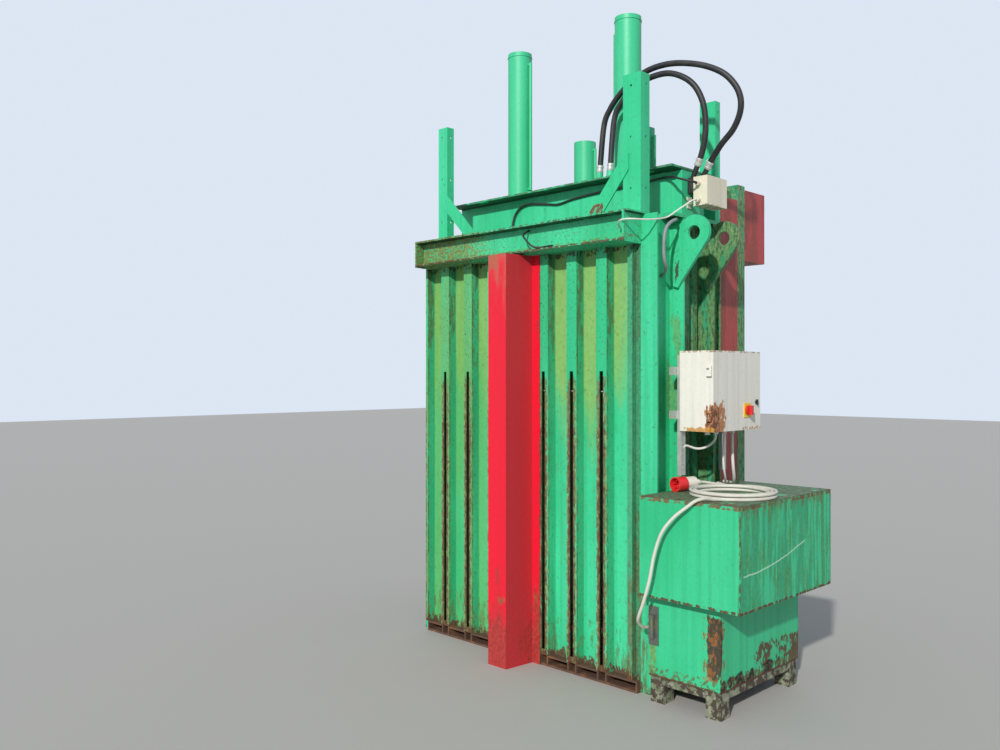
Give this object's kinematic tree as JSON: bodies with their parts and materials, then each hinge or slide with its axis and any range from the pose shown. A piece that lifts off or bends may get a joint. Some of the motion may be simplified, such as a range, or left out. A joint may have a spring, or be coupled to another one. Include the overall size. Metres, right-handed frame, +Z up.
{
  "type": "recycling baler",
  "caption": "Worn green vertical recycling baler: corrugated strap-slot chamber, twin ram cylinders, lifting feed gate, power pack and cabinet.",
  "frame": {"origin": "on the floor at the middle of the pressing chamber", "axes": "+Z up, +X towards the power pack end, -Y the fixed strap-slot wall, +Y the bale door"},
  "size_m": [2.4729, 1.435, 3.62],
  "materials": {
    "green_paint": "weathered",
    "red_paint": "weathered",
    "bare_steel": "brushed",
    "polished_rod": "polished",
    "pale_enamel": "satin",
    "cream_plastic": "matte",
    "black_rubber": "matte",
    "rusty_steel": "rusty",
    "black_iron": "matte",
    "yellow_plastic": "gloss",
    "red_plastic": "gloss"
  },
  "bodies": {
    "frame": {"base_frame": "rusty_steel", "brace_left": "green_paint", "brace_right": "green_paint", "cabinet": "pale_enamel", "cabinet_struts": "bare_steel", "column_front_left": "green_paint", "column_front_right": "green_paint", "column_rear_left": "green_paint", "column_rear_right": "green_paint", "crosshead": "green_paint", "door_hinges": "green_paint", "front_post_left": "green_paint", "front_post_right": "green_paint", "gate_barrel_left": "green_paint", "gate_barrel_right": "green_paint", "gate_beam": "green_paint", "header_box": "red_paint", "hose_inner": "black_rubber", "hose_outer": "black_rubber", "junction_box": "pale_enamel", "junction_lid": "pale_enamel", "lock_keeper": "green_paint", "mains_coil": "cream_plastic", "mains_lead": "cream_plastic", "mains_plug": "red_plastic", "mains_tail": "cream_plastic", "pack_latch": "black_iron", "pack_lid": "green_paint", "pack_lower": "green_paint", "pack_skid": "rusty_steel", "pack_upper": "green_paint", "ram_barrel_left": "green_paint", "ram_barrel_right": "green_paint", "rear_beam": "green_paint", "rear_guard": "red_paint", "rear_wall": "green_paint", "saddle_left": "green_paint", "saddle_right": "green_paint", "side_guard_left": "red_paint", "side_guard_right": "red_paint", "side_wall_left": "green_paint", "side_wall_right": "green_paint", "upright_front_left": "green_paint", "upright_front_right": "green_paint", "upright_rear_left": "green_paint", "upright_rear_right": "green_paint", "valve_block": "black_iron"},
    "ram": {"platen": "green_paint", "ram_rod_right": "polished_rod", "ram_rod_left": "polished_rod"},
    "gate": {"loading_gate": "green_paint", "gate_rod_right": "polished_rod", "gate_rod_left": "polished_rod"},
    "door": {"bale_door": "green_paint"},
    "lock": {"door_lock": "black_iron"},
    "electric_door": {"cabinet_door": "pale_enamel", "isolator_plate": "yellow_plastic"},
    "isolator": {"isolator_knob": "red_plastic"},
    "catch": {"cabinet_lock": "black_iron"}
  },
  "joints": [
    {"name": "ram_stroke", "type": "slide", "parent": "frame", "child": "ram", "axis": [0, 0, -1], "range_m": [0, 1.05]},
    {"name": "gate_lift", "type": "slide", "parent": "frame", "child": "gate", "axis": [0, 0, 1], "range_m": [0, 0.63]},
    {"name": "door_swing", "type": "hinge", "parent": "frame", "child": "door", "pos_m": [-0.795, 0.6, 0.78], "axis": [0, 0, 1], "range_deg": [0, 110]},
    {"name": "lock_turn", "type": "hinge", "parent": "door", "child": "lock", "pos_m": [0.66, 0.6, 0.8], "axis": [0, 1, 0], "range_deg": [0, 90]},
    {"name": "cabinet_door_swing", "type": "hinge", "parent": "frame", "child": "electric_door", "pos_m": [1.145, -0.306, 1.5], "axis": [0, 0, -1], "range_deg": [0, 110]},
    {"name": "isolator_turn", "type": "hinge", "parent": "electric_door", "child": "isolator", "pos_m": [1.157, 0.021, 1.421], "axis": [1, 0, 0], "range_deg": [0, 90]},
    {"name": "catch_turn", "type": "hinge", "parent": "electric_door", "child": "catch", "pos_m": [1.157, 0.112, 1.46], "axis": [1, 0, 0], "range_deg": [0, 90]}
  ]
}
